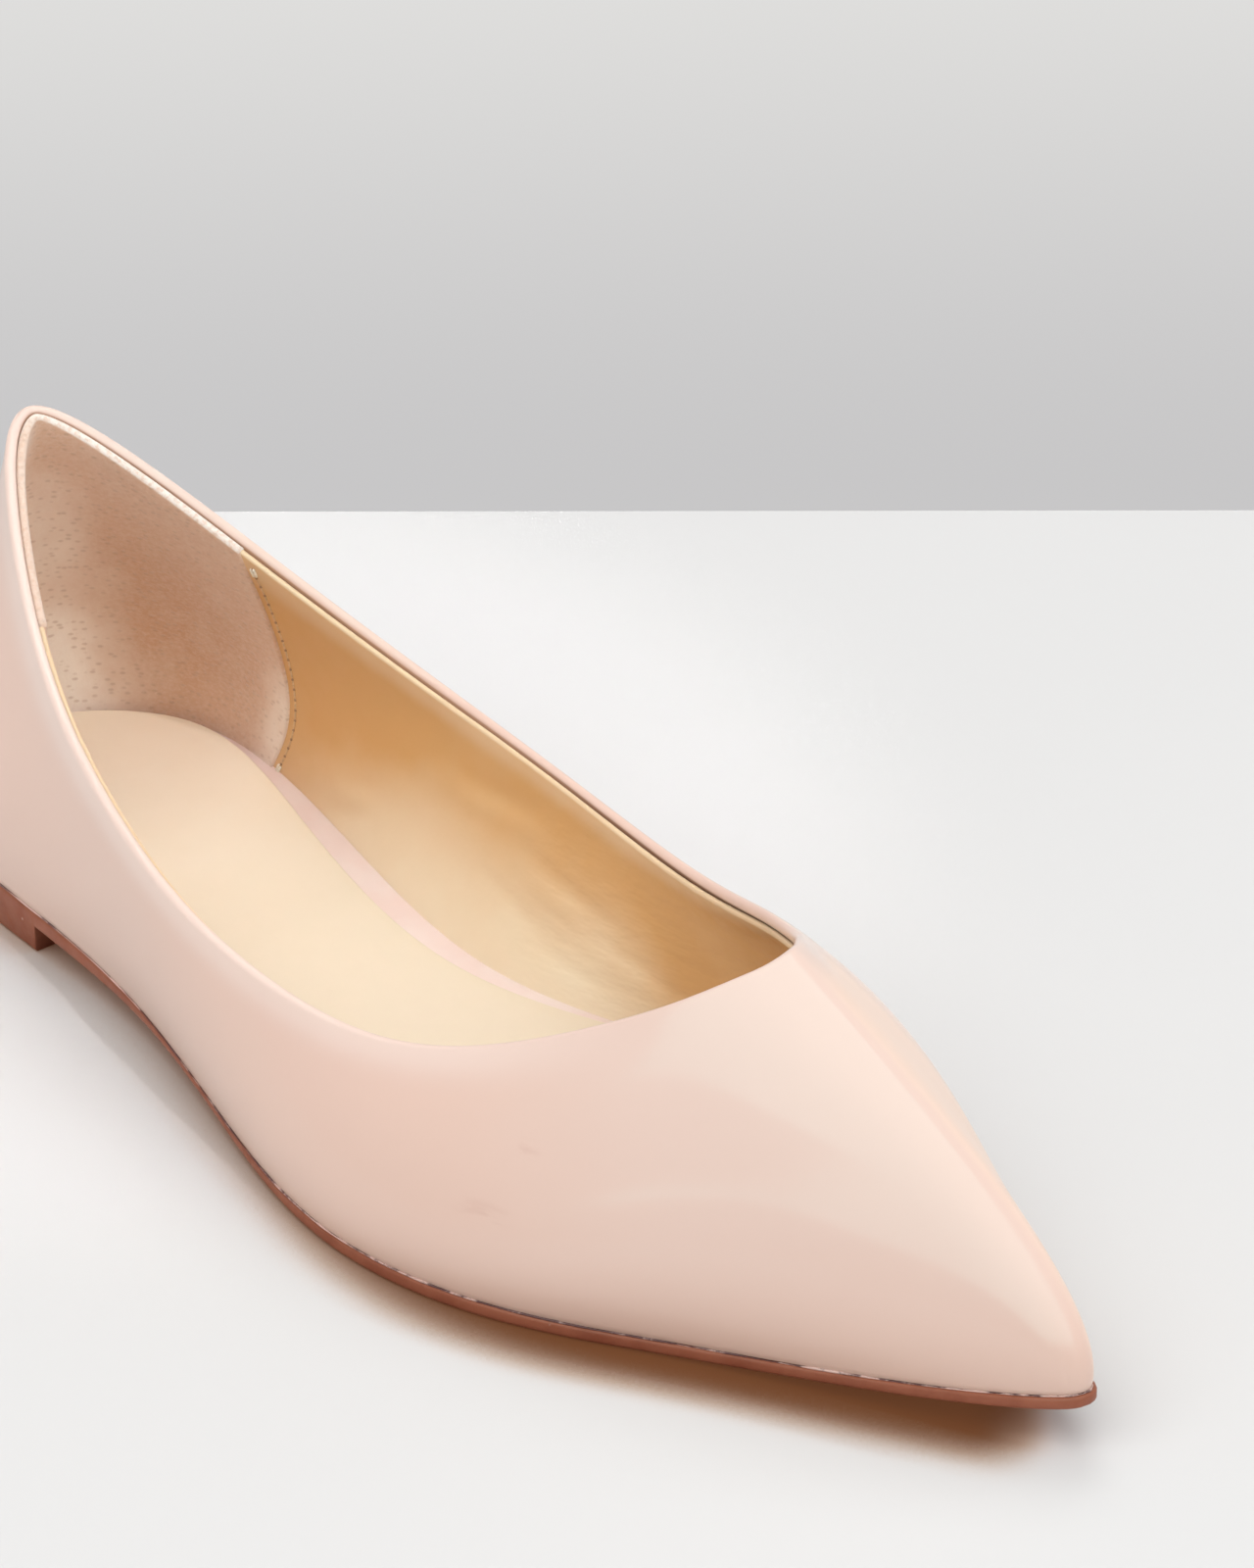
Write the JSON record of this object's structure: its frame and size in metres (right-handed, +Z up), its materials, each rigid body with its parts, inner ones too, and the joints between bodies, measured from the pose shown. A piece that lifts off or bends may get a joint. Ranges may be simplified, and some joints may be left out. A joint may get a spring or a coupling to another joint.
{
  "type": "pointed flat shoe",
  "caption": "Right pointed-toe slip-on flat shoe: hollow patent leather upper with a low-cut collar, thin rubber sole with arch, toe spring and low heel, board and footbed.",
  "frame": {"origin": "centre of the bounding box in plan, at floor level", "axes": "+X from heel to toe, +Y to the wearer's left (the inner side of this right shoe), +Z up"},
  "size_m": [0.2544, 0.0796, 0.0685],
  "materials": {
    "outsole": "satin",
    "upper": "patent gloss",
    "insole_board": "matte",
    "sock_lining": "matte"
  },
  "bodies": {
    "root": {"outsole": "outsole", "upper": "upper", "insole_board": "insole_board", "sock_lining": "sock_lining"}
  },
  "joints": []
}
